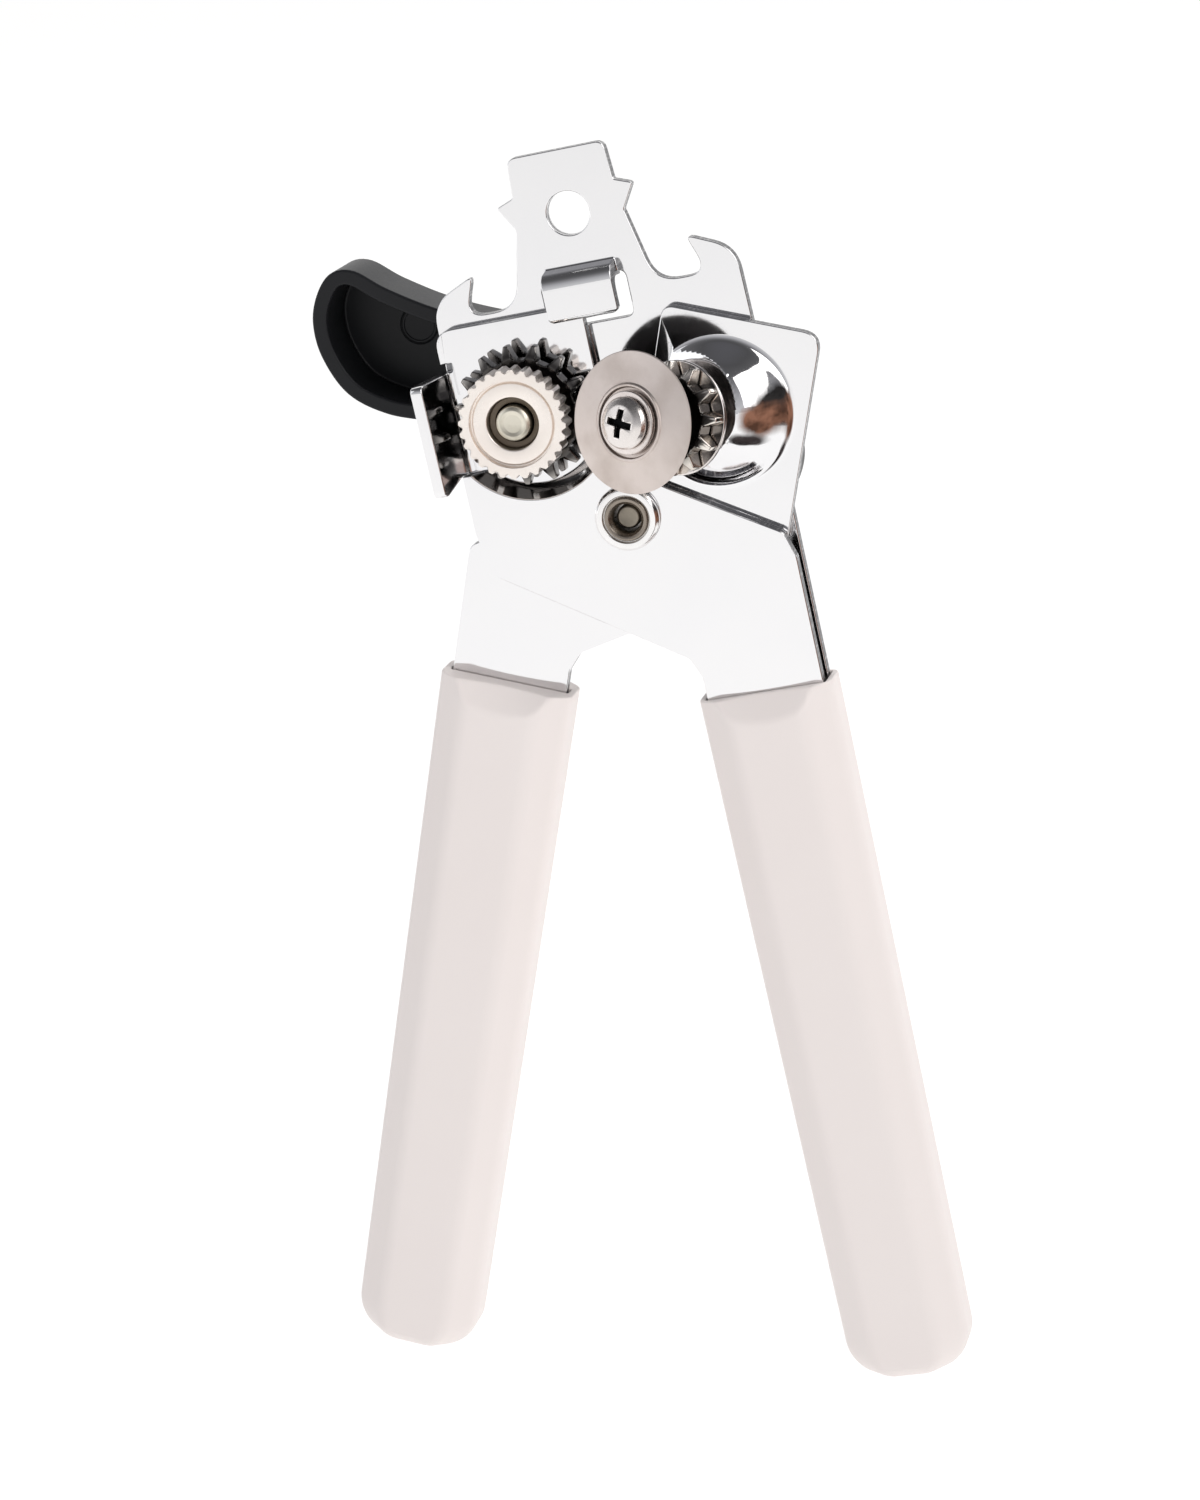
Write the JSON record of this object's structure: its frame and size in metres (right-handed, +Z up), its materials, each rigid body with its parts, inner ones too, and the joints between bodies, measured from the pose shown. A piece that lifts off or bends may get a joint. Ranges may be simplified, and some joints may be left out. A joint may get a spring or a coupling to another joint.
{
  "type": "manual can opener",
  "caption": "Hand-held can opener: two hinged grips, a toothed feed wheel turned by a winged knob, a leaning cutter wheel, and a bottle-opener plate with a hanging hole.",
  "frame": {"origin": "centre of the hanging hole, on the front face of the back plate", "axes": "+Z up along the line half way between the two grips, -Y out of the cutter side, +X to the right as seen from the cutter side"},
  "size_m": [0.1115, 0.0485, 0.211],
  "materials": {
    "chrome_sheet": "mirror plated",
    "satin_nickel": "satin",
    "bright_steel": "turned",
    "white_plastic": "satin",
    "black_plastic": "semi-gloss"
  },
  "bodies": {
    "frame_body": {"front_plate": "chrome_sheet", "back_plate": "chrome_sheet", "tang_spacer": "bright_steel", "right_grip": "white_plastic", "pivot_rivet": "chrome_sheet", "pivot_core": "bright_steel", "pivot_washer": "bright_steel", "feed_bush": "bright_steel"},
    "cutter_arm": {"cutter_plate": "chrome_sheet", "left_grip": "white_plastic", "cutter_stud": "bright_steel", "cutter_screw": "chrome_sheet", "screw_washer": "chrome_sheet"},
    "feed_drive": {"feed_gear": "satin_nickel", "feed_wheel": "satin_nickel", "feed_shaft": "satin_nickel", "thrust_washer": "bright_steel", "knob_washer": "bright_steel", "knob_insert": "bright_steel", "knob": "black_plastic"},
    "cutter_drive": {"cutter_wheel": "satin_nickel", "cutter_gear": "satin_nickel", "gear_flange": "chrome_sheet", "cutter_sleeve": "satin_nickel", "spring_washer": "bright_steel"}
  },
  "joints": [
    {"name": "handle_pivot", "type": "hinge", "parent": "frame_body", "child": "cutter_arm", "pos_m": [0.0092, 0, -0.04915], "axis": [0, 1, 0], "range_deg": [-20.2, 10.5]},
    {"name": "feed_spin", "type": "hinge", "parent": "frame_body", "child": "feed_drive", "pos_m": [-0.00734, 0, -0.032], "axis": [0, -1, 0], "continuous": true},
    {"name": "cutter_spin", "type": "hinge", "parent": "cutter_arm", "child": "cutter_drive", "pos_m": [0.0179, -0.0092, -0.03165], "axis": [-0.3855, -0.9135, 0.1297], "continuous": true}
  ],
  "couplings": [
    {"joint": "cutter_spin", "follows": "feed_spin", "ratio": -1.25}
  ]
}
